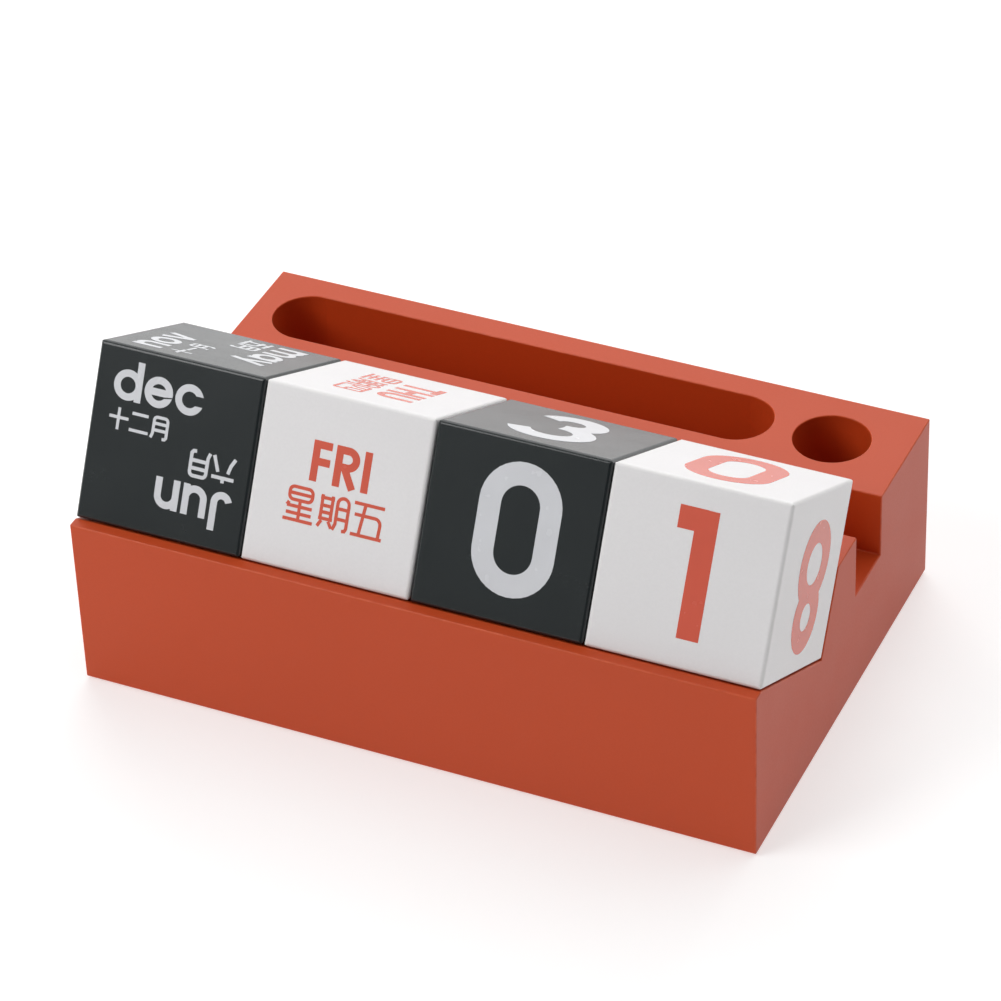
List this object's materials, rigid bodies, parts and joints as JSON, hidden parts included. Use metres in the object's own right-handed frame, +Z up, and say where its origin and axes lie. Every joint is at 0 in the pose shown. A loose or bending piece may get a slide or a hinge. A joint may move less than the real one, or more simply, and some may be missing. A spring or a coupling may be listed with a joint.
{
  "type": "block desk calendar",
  "caption": "Perpetual desk calendar: loose month, weekday and date cubes sit tilted in a moulded stand that also holds a phone and pens.",
  "frame": {"origin": "middle of the footprint, at the level of the foot pads' lower faces", "axes": "+X along the row of cubes, to the right as a reader sees it; the cubes face -Y; +Z up"},
  "size_m": [0.161, 0.1056, 0.0786],
  "materials": {
    "stand_plastic": "fine satin moulded plastic, orange red",
    "base_plastic": "moulded plastic, orange red, matt",
    "screw_steel": "zinc plated",
    "foot_rubber": "black foam rubber",
    "dark_plastic": "satin charcoal plastic",
    "white_plastic": "satin white plastic",
    "white_print": "white pad-printed ink, used for the marks on the dark cubes",
    "red_print": "red pad-printed ink, used for the marks on the white cubes"
  },
  "bodies": {
    "stand": {"stand_shell": "stand_plastic", "base_plate": "base_plastic", "screw_front_left": "screw_steel", "screw_front_right": "screw_steel", "screw_rear_left": "screw_steel", "screw_rear_right": "screw_steel", "foot_front_left": "foot_rubber", "foot_front_right": "foot_rubber", "foot_rear_left": "foot_rubber", "foot_rear_right": "foot_rubber"},
    "month_cube": {"month_shell": "dark_plastic", "month_cap": "dark_plastic"},
    "weekday_cube": {"weekday_shell": "white_plastic", "weekday_cap": "white_plastic"},
    "tens_cube": {"tens_shell": "dark_plastic", "tens_cap": "dark_plastic"},
    "units_cube": {"units_shell": "white_plastic", "units_cap": "white_plastic"}
  },
  "joints": [
    {"name": "month_lift", "type": "slide", "parent": "stand", "child": "month_cube", "axis": [0, 0.4617, 0.887], "range_m": [0, 0.06]},
    {"name": "weekday_lift", "type": "slide", "parent": "stand", "child": "weekday_cube", "axis": [0, 0.4617, 0.887], "range_m": [0, 0.06]},
    {"name": "tens_lift", "type": "slide", "parent": "stand", "child": "tens_cube", "axis": [0, 0.4617, 0.887], "range_m": [0, 0.06]},
    {"name": "units_lift", "type": "slide", "parent": "stand", "child": "units_cube", "axis": [0, 0.4617, 0.887], "range_m": [0, 0.06]}
  ]
}
